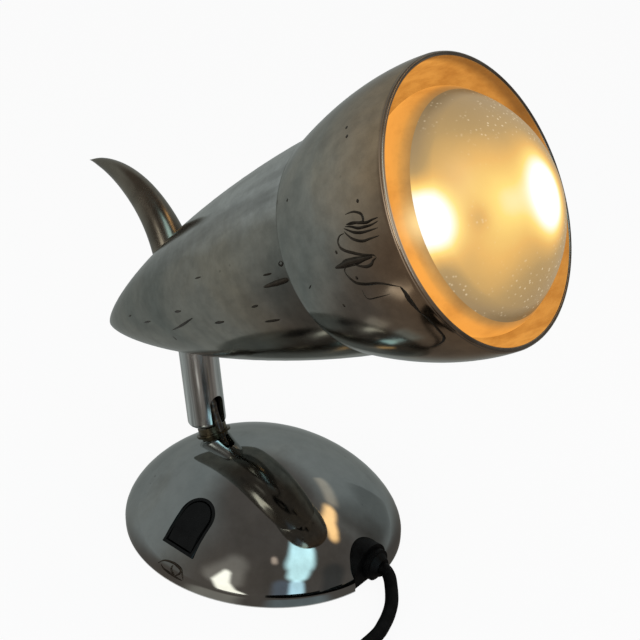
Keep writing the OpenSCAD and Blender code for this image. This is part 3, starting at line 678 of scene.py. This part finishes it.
# Tones of the aged castings
CAST_EDGE = (0.75, 0.75, 0.73, 1)
CAST_CLEAR = (0.435, 0.435, 0.418)
CAST_COOL = (0.29, 0.315, 0.315)
CAST_WARM = (0.5, 0.46, 0.395)
CAST_STREAK = (0.16, 0.153, 0.14)
CAST_PIT = (0.03, 0.028, 0.026)
MOTTLE_DEPTH = 0.22


def cast_metal(name, long_way, rough, shade, clouded=1.0, tint=None):
    """Polished casting, clouded with age: grey-blue and brownish clouds, faint streaks, pits and scratches.

    long_way is the scale of the streaks along each axis; shade multiplies the colour; clouded is the strength of
    the clouds; tint takes the shader and gives the share and the colour of a tone laid over the clouds, which on
    the rear casting is a painted reflection.
    """
    sh = Shader(name, own_place=True, Metallic=1.0, Specular_Tint=CAST_EDGE)
    clouds = sh.noise(16, 5, 0.5, warp=0.6)
    colour = sh.ramp(clouds, (0.34, CAST_COOL), (0.5, CAST_CLEAR), (0.66, CAST_WARM))
    colour = sh.mix(clouded, CAST_CLEAR, colour)
    # A browner tone, or on the rear casting a painted reflection, laid over the clouds
    if tint:
        share, tone_or_reflection_colour = tint(sh)
        colour = sh.mix(share, colour, tone_or_reflection_colour)
    mottled = tuple((1 - MOTTLE_DEPTH * clouded) * x for x in shade)
    mottle = sh.ramp(sh.noise(150, 5, 0.65), (0.35, mottled), (0.62, shade))
    colour = sh.mix(1.0, colour, mottle, "MULTIPLY")
    streaks = sh.noise(1, 6, 0.6, vector=sh.stretched(long_way))
    colour = sh.mix(sh.ramp(streaks, (0.52, 0.0), (0.75, 0.55)), colour, CAST_STREAK)
    pits = sh.maths("MULTIPLY", sh.ramp(sh.cells(190), (0.05, 1.0), (0.12, 0.0)),
                    sh.ramp(sh.noise(42, 3), (0.56, 0.0), (0.66, 0.8)))
    colour = sh.mix(pits, colour, CAST_PIT)
    grain = sh.noise(60, 6, 0.6)
    sh.set(Base_Color=colour, Roughness=sh.ramp(grain, (0.3, rough), (0.75, 1.8 * rough + 0.02)))
    scratches = sh.noise(1, 3, 0.5, vector=sh.stretched(tuple(12 * x for x in long_way)))
    height = sh.maths("ADD", sh.noise(24, 2, 0.4), sh.maths("MULTIPLY", scratches, 0.02))
    sh.bump(height, 0.6 * MM, 0.3)
    return sh.material


def painted_upper_reflection(sh):
    """Painted reflection: the rear casting's upper side is paler and bluer, as where the polish mirrors the room
    above the table's edge, with a ragged edge along it.
    """
    ragged = sh.maths("MULTIPLY", sh.noise(55, 4), 12 * MM)
    edge = sh.span(sh.maths("ADD", sh.axis("X"), ragged), -20 * MM, -8 * MM)
    return sh.ramp(edge, (0.0, 1.0), (1.0, 0.0)), (0.8, 0.85, 0.91)


def browner_towards_mouth(sh):
    """Brown tone on the front casting, stronger towards its mouth."""
    along = sh.span(sh.axis("Z"), REAR_LEN, REAR_LEN + SHADE_LEN)
    along = sh.maths("ADD", along, sh.sway(30, 4, 0.6))
    return sh.ramp(along, (0.45, 0.0), (1.0, 0.85)), (0.58, 0.42, 0.28)


# Bright patches on the bulb's face: place and width in mm, strength
HOT_SPOTS = [
    ((-2, -35.5), (10, 5), 1.25), ((2.7, 2), (10, 8), 1.25), ((1, -14), (7, 6), 0.15),
    ((-2, -20), (22, 16), 0.42), ((0, 4), (20, 14), 0.3), ((2, -24.5), (4, 3), -0.12),
    ((20, -20), (12, 14), 0.12),
]
# Tones of the face from dark to bright, the level of its ground and how far its edge falls below that
FACE_TONES = [
    (0.0, (0.1, 0.06, 0.02)), (0.16, (0.29, 0.19, 0.085)), (0.32, (0.42, 0.26, 0.09)), (0.5, (0.78, 0.43, 0.1)),
    (0.68, (1.0, 0.7, 0.18)), (0.88, (1.0, 0.95, 0.7)), (1.0, (1.0, 1.0, 1.0)),
]
FACE_GROUND = 0.16
FACE_EDGE = 0.14


def near_patch(sh, place, reach):
    """1 at a place, falling to about 0 at twice reach from it, all in mm."""
    away = sh.length(sh.vector_maths("SUBTRACT", sh.place, tuple(x * MM for x in place)))
    return sh.bell(sh.maths("DIVIDE", away, reach * MM))


def rim_shadow(sh, light):
    """The upper wall of the shade near its rim is kept dark by the bulb's shoulder."""
    rim = REAR_LEN + SHADE_LEN
    out = sh.span(sh.axis("Z"), rim - 7 * MM, rim - 3 * MM)
    up = sh.span(sh.axis("X"), -4 * MM, -24 * MM, top=0.9)
    return sh.mix(sh.maths("MULTIPLY", out, up), light, (0.12, 0.055, 0.012))


def shoulder_light(sh, light):
    """The bulb's side is painted darker towards its face, going over into the tan of the face, and painted
    brighter beside the bright patch at the edge.
    """
    front = BULB_FRONT - FACE_CAP
    light = sh.mix(sh.span(sh.axis("Z"), front - 3 * MM, front, top=0.7), light, (0.2, 0.125, 0.05))
    return sh.mix(near_patch(sh, (*HOT_SPOTS[0][0], front / MM), 5), light, (1.0, 0.7, 0.3))


def warm_wall(name, rough, metallic, near, far, scale, depth, touch):
    """A wall in the bulb's warm light, painted on as glow: brighter on the side of the filament and darker in
    the lumps; touch takes the painted light further.
    """
    sh = Shader(name, own_place=True, Metallic=metallic, Roughness=rough)
    lumps = sh.noise(scale, 6, 0.65)
    light = sh.mix(sh.span(sh.axis("Y"), -BULB_R, BULB_R), near, far)
    light = sh.mix(sh.ramp(lumps, (0.35, 0.55), (0.6, 0.0)), light, (0.3, 0.1, 0.012))
    sh.set(Base_Color=sh.ramp(lumps, (0.3, (0.2, 0.12, 0.05)), (0.7, (0.32, 0.2, 0.08))),
           Emission_Color=touch(sh, light), Emission_Strength=1.0)
    sh.bump(lumps, depth * MM, 0.6)
    return sh.material


def worn_rim_with_painted_glow():
    """The worn rim of the shade, with the light of the bulb's bright patch painted on it as a glow."""
    sh = Shader("lit_rim", own_place=True, Metallic=1.0)
    worn = sh.noise(80, 4, 0.6)
    sh.set(Base_Color=sh.ramp(worn, (0.35, (0.17, 0.145, 0.12)), (0.65, (0.28, 0.245, 0.21))),
           Roughness=sh.ramp(worn, (0.3, 0.2), (0.7, 0.34)))
    patch = near_patch(sh, (-4, -46, (REAR_LEN + SHADE_LEN) / MM), 20)
    light = sh.mix(patch, (0.008, 0.006, 0.004), (0.27, 0.185, 0.115))
    sh.set(Emission_Color=light, Emission_Strength=1.0)
    return sh.material


def frosted_face():
    """Frosted glass with the light behind it: bright patches on a tan ground, and specks of dust."""
    sh = Shader("bulb_face", own_place=True, Roughness=0.35, Base_Color=(0.09, 0.075, 0.05, 1), IOR=1.45)
    total = None
    for (x, y), (wide_x, wide_y), strength in HOT_SPOTS:
        away = sh.vector_maths("SUBTRACT", sh.place, (x * MM, y * MM, 0))
        away = sh.vector_maths("MULTIPLY", away, (1 / (wide_x * MM), 1 / (wide_y * MM), 0))
        glow = sh.maths("MULTIPLY", sh.bell(sh.length(away)), strength)
        total = glow if total is None else sh.maths("ADD", total, glow)
    dust = sh.maths("MULTIPLY", sh.ramp(sh.cells(600), (0.1, 1.0), (0.26, 0.0)),
                    sh.ramp(sh.noise(55, 3), (0.4, 0.0), (0.56, 0.6)))
    dust = sh.maths("MULTIPLY", dust, sh.ramp(total, (0.12, 1.0), (0.4, 0.1)))
    total = sh.maths("ADD", total, sh.sway(30, 4, 0.16))
    from_axis = sh.length(sh.vector_maths("MULTIPLY", sh.place, (1, 1, 0)))
    edge = sh.span(from_axis, FACE_R - 4 * MM, FACE_R - MM, top=FACE_EDGE)
    total = sh.maths("SUBTRACT", sh.maths("ADD", total, FACE_GROUND), edge)
    light = sh.mix(dust, sh.ramp(total, *FACE_TONES), (0.95, 0.8, 0.55))
    sh.set(Emission_Color=light, Emission_Strength=1.0)
    sh.bump(sh.noise(900, 2), 0.05 * MM, 0.4)
    return sh.material


def worn_metal(name, dark, light, rough, scale=90):
    """A metal with tarnish in two tones."""
    sh = Shader(name, Metallic=1.0)
    tarnish = sh.noise(scale, 5, 0.6, warp=0.4)
    sh.set(Base_Color=sh.ramp(tarnish, (0.35, dark), (0.65, light)))
    sh.set(Roughness=sh.ramp(sh.noise(scale * 2, 4), (0.3, rough), (0.7, rough + 0.15)))
    sh.bump(sh.noise(scale * 4, 4), 0.1 * MM, 0.25)
    return sh.material


def drawn_tube(name, dark, light, rough):
    """Plated tube with the lines of its drawing along it."""
    sh = Shader(name, Metallic=1.0)
    upright = sh.node("VectorRotate", {"Vector": sh.place, "Axis": (0, 1, 0), "Angle": STEM_LEAN}).outputs[0]
    lines = sh.noise(1, 4, 0.65, vector=sh.stretched((420, 420, 9), upright))
    sh.set(Base_Color=sh.ramp(lines, (0.36, dark), (0.6, light)),
           Roughness=sh.ramp(sh.noise(90, 4), (0.3, rough), (0.7, rough + 0.12)))
    sh.bump(lines, 0.06 * MM, 0.3)
    return sh.material


def plastic(name, dark, light, rough, scale=160, depth=0.05, shine=0.5):
    """Moulded plastic, rubber or glaze: two close tones and a fine skin."""
    sh = Shader(name, Specular_IOR_Level=shine)
    tone = sh.noise(scale, 4)
    sh.set(Base_Color=sh.ramp(tone, (0.35, dark), (0.65, light)))
    sh.set(Roughness=sh.ramp(sh.noise(scale * 1.7, 3), (0.3, rough), (0.7, rough + 0.1)))
    sh.bump(sh.noise(scale * 6, 3), depth * MM, 0.3)
    return sh.material


def mottled_lead():
    """Brown cloth-wrapped lead with worn, glossy spots."""
    sh = Shader("lead_brown")
    spots = sh.noise(520, 4, 0.6, warp=0.5)
    colour = sh.ramp(spots, (0.34, (0.014, 0.01, 0.007)), (0.54, (0.032, 0.022, 0.013)),
                     (0.72, (0.17, 0.125, 0.08)))
    sh.set(Base_Color=colour, Roughness=sh.ramp(spots, (0.3, 0.22), (0.7, 0.4)))
    sh.bump(spots, 0.15 * MM, 0.5)
    return sh.material


def wear(obj, *materials):
    """Puts materials in an object's slots."""
    for material in materials:
        obj.data.materials.append(material)


metal_base = cast_metal("cast_base", (30, 30, 30), 0.025, (0.9, 0.93, 0.95), clouded=0.4)
# The rear casting's paler, bluer top is a painted reflection of the room
metal_rear = cast_metal("cast_rear", (60, 60, 9), 0.11, (0.86, 0.82, 0.75), tint=painted_upper_reflection)
metal_shade = cast_metal("cast_front", (40, 40, 14), 0.09, (1.0, 0.96, 0.89), tint=browner_towards_mouth)
stain = worn_metal("stain", (0.04, 0.032, 0.025), (0.11, 0.088, 0.068), 0.34, 120)
shade_inside = warm_wall("shade_inside", rough=0.55, metallic=0.5, near=(0.7, 0.33, 0.065),
                         far=(0.46, 0.205, 0.038), scale=120, depth=0.8, touch=rim_shadow)
bulb_side = warm_wall("bulb_side", rough=0.3, metallic=0.7, near=(0.74, 0.33, 0.06), far=(0.35, 0.15, 0.03),
                      scale=45, depth=0.05, touch=shoulder_light)
chrome = drawn_tube("chrome", (0.4, 0.405, 0.39), (0.86, 0.87, 0.85), 0.15)
old_brass = worn_metal("old_brass", (0.05, 0.04, 0.025), (0.17, 0.14, 0.09), 0.28, 140)
brass = worn_metal("brass", (0.5, 0.36, 0.14), (0.7, 0.52, 0.24), 0.25)
steel = worn_metal("zinc_steel", (0.3, 0.3, 0.3), (0.45, 0.45, 0.44), 0.3)
horn_metal = worn_metal("horn_dark", (0.155, 0.137, 0.11), (0.27, 0.237, 0.19), 0.16, 45)
cap_metal = worn_metal("bulb_cap_metal", (0.5, 0.48, 0.42), (0.64, 0.62, 0.56), 0.3)
gloss = plastic("black_gloss", (0.003, 0.003, 0.003), (0.006, 0.006, 0.006), 0.1, 120, 0.02, 0.14)
rubber = plastic("black_rubber", (0.0015, 0.0015, 0.0015), (0.0045, 0.0045, 0.0045), 0.5, 200, 0.06, 0.1)
matte = plastic("black_matte", (0.02, 0.02, 0.02), (0.035, 0.035, 0.035), 0.6)
white = plastic("white_plastic", (0.68, 0.66, 0.6), (0.76, 0.75, 0.7), 0.45)
porcelain = plastic("porcelain", (0.74, 0.72, 0.66), (0.82, 0.8, 0.75), 0.15)
lead_brown = mottled_lead()

wear(head_marks, stain)
wear(dome_marks, stain)
wear(dome, metal_base)
wear(rear, metal_rear)
wear(shade, metal_shade, shade_inside, worn_rim_with_painted_glow())
wear(horn, horn_metal)
wear(bulb, frosted_face(), bulb_side)
wear(lead, lead_brown)
wear(cord, rubber)
CAD_LOOKS = {
    "base_plate": steel, "plate_screws": steel, "switch_body": gloss, "rocker": gloss, "switch_blades": brass,
    "strain_relief": rubber, "cord_clamp": matte, "clamp_screws": steel, "terminal_block": white,
    "inner_leads": lead_brown, "neck": old_brass, "neck_washer": steel, "neck_nut": old_brass,
    "stem_tube": chrome, "stem_insert": old_brass, "pivot_pin": steel, "stem_nut": steel, "shade_screws": steel,
    "horn_screw": steel, "holder_strap": steel, "strap_screws": steel, "holder_screws": steel,
    "lampholder": porcelain, "holder_shell": brass, "holder_contact": brass, "head_lead": lead_brown,
    "bulb_cap": cap_metal, "bulb_contact": cap_metal, "coil_tie": matte, "plug_body": rubber,
    "plug_pins": brass,
}
for node, material in CAD_LOOKS.items():
    NODES[node].data.materials.clear()
    wear(NODES[node], material)


# Stage and light
LIT_POINT = Vector((0, 0, 0.08))
WHITE = (1, 1, 1, 1)
FILL_TONE = (0.97, 0.98, 1.0, 1)
WORLD_FILL = 0.5
FLOOR_HALF = 8.0
FLOOR_TONE = (0.85, 0.85, 0.85, 1)
FLOOR_WHITE = 0.93
# Lamps: name, azimuth, elevation, distance and size in metres, power, colour
SOFTBOXES = [
    ("window_top", 78, 56, 1.1, (0.3, 0.4), 1.8, (0.8, 0.93, 1.0)),
    ("window_tall", 58, 18, 1.0, (0.2, 0.62), 1.5, (0.75, 0.92, 1.0)),
    ("low_window", 8, 7, 1.0, (0.26, 0.22), 0.7, (1.0, 1.0, 0.93)),
    ("low_glow", 6, 26, 1.05, (0.24, 0.3), 0.36, (1.0, 1.0, 0.95)),
    ("bounce", 150, 50, 0.5, (0.1, 0.12), 0.12, (1.0, 0.62, 0.25)),
]
# The room seen in the polish: its dark front and ceiling in degrees, with their soft edges, and its tones
FRONT_AZIMUTH, FRONT_HALF, FRONT_SOFT = 55, 62, 55
CEILING_HIGH, CEILING_SOFT = 66, 26
FRONT_TONE, SIDE_TONE = (0.148, 0.132, 0.12), (0.342, 0.37, 0.366)
ROOM_LEVEL, TABLE_LEVEL = 1, 0.95
# Lights and dark places of the room and of the table: a stroke of (azimuth, elevation, half width) in degrees,
# soft edge, colour
ROOM_LIGHTS = [
    ([(77, 56, 6), (67, 45, 6), (61, 34, 4)], 6, (1.5, 2.45, 2.7)),
    ([(58, 23, 3), (56, 2, 3)], 5, (1.1, 1.8, 2.15)),
    ([(47, 22, 4), (49, 0, 7)], 7, (0.07, 0.13, 0.21)),
    ([(42, 49, 0.5), (42, 51, 0.5)], 3, (1.0, 0.8, 0.66)),
    ([(4, 27, 1), (3, 14, 4), (8, 2, 5), (14, -4, 5)], 4, (2.3, 2.3, 2.1)),
    ([(8, 38, 4), (3, 20, 8)], 9, (0.21, 0.205, 0.19)),
    ([(122, 48, 1), (136, 53, 2), (148, 51, 1)], 5, (2.5, 1.5, 0.6)),
    ([(160, 47, 1), (176, 44, 1)], 5, (0.4, 0.32, 0.23)),
    ([(152, 38, 4), (155, 18, 8), (172, 10, 8)], 12, (-0.12, -0.13, -0.13)),
    ([(92, 26, 6), (84, 4, 4)], 8, (-0.06, -0.045, -0.035)),
]
TABLE_LIGHTS = [
    ([(26, -70, 4), (22, -34, 4)], 5, (0.22, 0.22, 0.2)),
    ([(58, -70, 5), (57, -34, 5)], 4, (0.1, 0.16, 0.19)),
    ([(9, -5.1, 0.3), (22, -4.9, 0.3)], 0.9, (0.6, 0.6, 0.57)),
]
# Screens that carry them: a dome of rings over the room, and rings on the table that get smaller by a ratio
RING_POINTS = 360
ROOM_EDGE = 1.6
ROOM_RINGS = 76
TABLE_RINGS = 21
TABLE_RATIO = 0.84
TABLE_LIFT = 0.4 * MM
FOOT_HIGH = 10 * MM  # height on the dome from which the table is seen


def seen_directly(tree):
    """1 for rays that show the background: straight from the camera, mirrored or through glass."""
    path = add_node(tree, "LightPath")
    total = path.outputs["Is Camera Ray"]
    for name in ("Is Glossy Ray", "Is Transmission Ray"):
        total = add_node(tree, "Math", {0: total, 1: path.outputs[name]}, operation="MAXIMUM").outputs[0]
    return total


def make_world():
    """An even fill for the object, on a background that is white to the eye."""
    world = bpy.data.worlds.new("studio")
    bpy.context.scene.world = world
    tree = empty_tree(world)
    fill = add_node(tree, "Background", {"Color": FILL_TONE, "Strength": WORLD_FILL})
    wall = add_node(tree, "Background", {"Color": WHITE, "Strength": 1.0})
    mix = add_node(tree, "MixShader", {0: seen_directly(tree), 1: fill.outputs[0], 2: wall.outputs[0]})
    add_node(tree, "OutputWorld", {"Surface": mix.outputs[0]})


def make_floor():
    """A pale floor, white to the eye, which keeps a faint shadow."""
    corners = [(x * FLOOR_HALF, y * FLOOR_HALF, 0) for x, y in ((-1, -1), (1, -1), (1, 1), (-1, 1))]
    data = bpy.data.meshes.new("floor")
    data.from_pydata(corners, [], [(0, 1, 2, 3)])
    obj = shown("floor", data)
    material = bpy.data.materials.new("floor_white")
    tree = empty_tree(material)
    paint = add_node(tree, "BsdfDiffuse", {"Color": FLOOR_TONE})
    glow = add_node(tree, "Emission", {"Color": WHITE, "Strength": 1.0})
    share = add_node(tree, "Math", {0: seen_directly(tree), 1: FLOOR_WHITE}, operation="MULTIPLY")
    mix = add_node(tree, "MixShader", {0: share.outputs[0], 1: paint.outputs[0], 2: glow.outputs[0]})
    add_node(tree, "OutputMaterial", {"Surface": mix.outputs[0]})
    wear(obj, material)


def direction(azimuth, elevation):
    """Unit vector away from the lamp: azimuth 0 is -Y and 90 is +X."""
    a, e = math.radians(azimuth), math.radians(elevation)
    return Vector((math.sin(a) * math.cos(e), -math.cos(a) * math.cos(e), math.sin(e)))


def make_softbox(name, azimuth, elevation, distance, size, power, colour):
    """A soft lamp that looks at the part, and isn't mirrored in it."""
    data = bpy.data.lights.new(name, "AREA")
    data.shape = "RECTANGLE"
    data.size, data.size_y = size
    data.energy = power
    data.color = colour
    obj = shown(name, data)
    out = direction(azimuth, elevation)
    obj.location = LIT_POINT + out * distance
    obj.rotation_mode = "QUATERNION"
    obj.rotation_quaternion = out.to_track_quat("Z", "Y")
    obj.visible_glossy = False


def smooth_step(share):
    """0 below 0, 1 above 1 and a soft rise between."""
    share = min(1, max(0, share))
    return share * share * (3 - 2 * share)


def stroke_share(line, soft, azimuth, elevation):
    """1 on a stroke of (azimuth, elevation, half width) points, falling to 0 over soft degrees beside it."""
    gap = soft
    for (a, e, w), (a_next, e_next, w_next) in zip(line, line[1:]):
        squeeze = math.cos(math.radians((e + e_next) / 2))
        run = Vector(((a_next - a) * squeeze, e_next - e))
        off = Vector(((azimuth - a) * squeeze, elevation - e))
        t = min(1, max(0, off.dot(run) / run.length_squared))
        gap = min(gap, (off - t * run).length - w - (w_next - w) * t)
    return smooth_step(1 - gap / soft)


def room_light(azimuth, elevation, level, lights):
    """Light seen in a direction: a grey room, darker and browner in front and above, with soft lights."""
    off = abs((azimuth - FRONT_AZIMUTH + 180) % 360 - 180)
    beside = smooth_step((off - FRONT_HALF) / FRONT_SOFT)
    pale = beside * smooth_step((CEILING_HIGH - elevation) / CEILING_SOFT)
    light = level * Vector(FRONT_TONE).lerp(Vector(SIDE_TONE), pale)
    for line, soft, colour in lights:
        light += stroke_share(line, soft, azimuth, elevation) * Vector(colour)
    return light


def make_flags(name, rings, elevation_of, level, lights):
    """A screen all round, of rings of points, seen only in the polish."""
    verts = [p for ring in rings for p in ring]
    faces = []
    for j in range(len(rings) - 1):
        here, there = j * RING_POINTS, (j + 1) * RING_POINTS
        faces += [(here + i, here + (i + 1) % RING_POINTS, there + (i + 1) % RING_POINTS, there + i)
                  for i in range(RING_POINTS)]
    obj = mesh_piece(name, verts, faces)
    obj.visible_camera = obj.visible_diffuse = obj.visible_shadow = obj.visible_transmission = False
    glows = []
    for vertex in obj.data.vertices:
        azimuth = math.degrees(math.atan2(vertex.co.x, -vertex.co.y))
        glows += [*room_light(azimuth, elevation_of(vertex.co), level, lights), 1]
    obj.data.attributes.new("glow", "FLOAT_COLOR", "POINT").data.foreach_set("color", glows)
    material = bpy.data.materials.new(name)
    tree = empty_tree(material)
    seen = add_node(tree, "Attribute", attribute_name="glow")
    glow = add_node(tree, "Emission", {"Color": seen.outputs["Color"]})
    add_node(tree, "OutputMaterial", {"Surface": glow.outputs[0]})
    wear(obj, material)


def ring_of(distance, elevation, middle):
    """Points all round a middle, at one elevation from it."""
    return [middle + distance * direction(360 * i / RING_POINTS, elevation) for i in range(RING_POINTS)]


def room_elevation(place):
    """Elevation at which the part sees a place in the room."""
    return math.degrees(math.asin((place - LIT_POINT).normalized().z))


def table_elevation(place):
    """Elevation at which the foot of the dome sees a place on the table."""
    return -math.degrees(math.atan2(FOOT_HIGH, max(FOOT_HIGH, place.xy.length - DOME_B)))


make_world()
make_floor()
for softbox in SOFTBOXES:
    make_softbox(*softbox)
low_edge = -math.degrees(math.asin(LIT_POINT.z / ROOM_EDGE))
rise = (90 - low_edge) / (ROOM_RINGS - 1)
room_rings = [ring_of(ROOM_EDGE, low_edge + rise * i, LIT_POINT) for i in range(ROOM_RINGS)]
table_middle = Vector((0, 0, TABLE_LIFT))
table_rings = [ring_of(ROOM_EDGE * TABLE_RATIO ** i, 0, table_middle) for i in range(TABLE_RINGS)]
make_flags("room_flags", room_rings, room_elevation, ROOM_LEVEL, ROOM_LIGHTS)
make_flags("table_flags", table_rings, table_elevation, TABLE_LEVEL, TABLE_LIGHTS)

bpy.context.scene.view_settings.view_transform = "Standard"
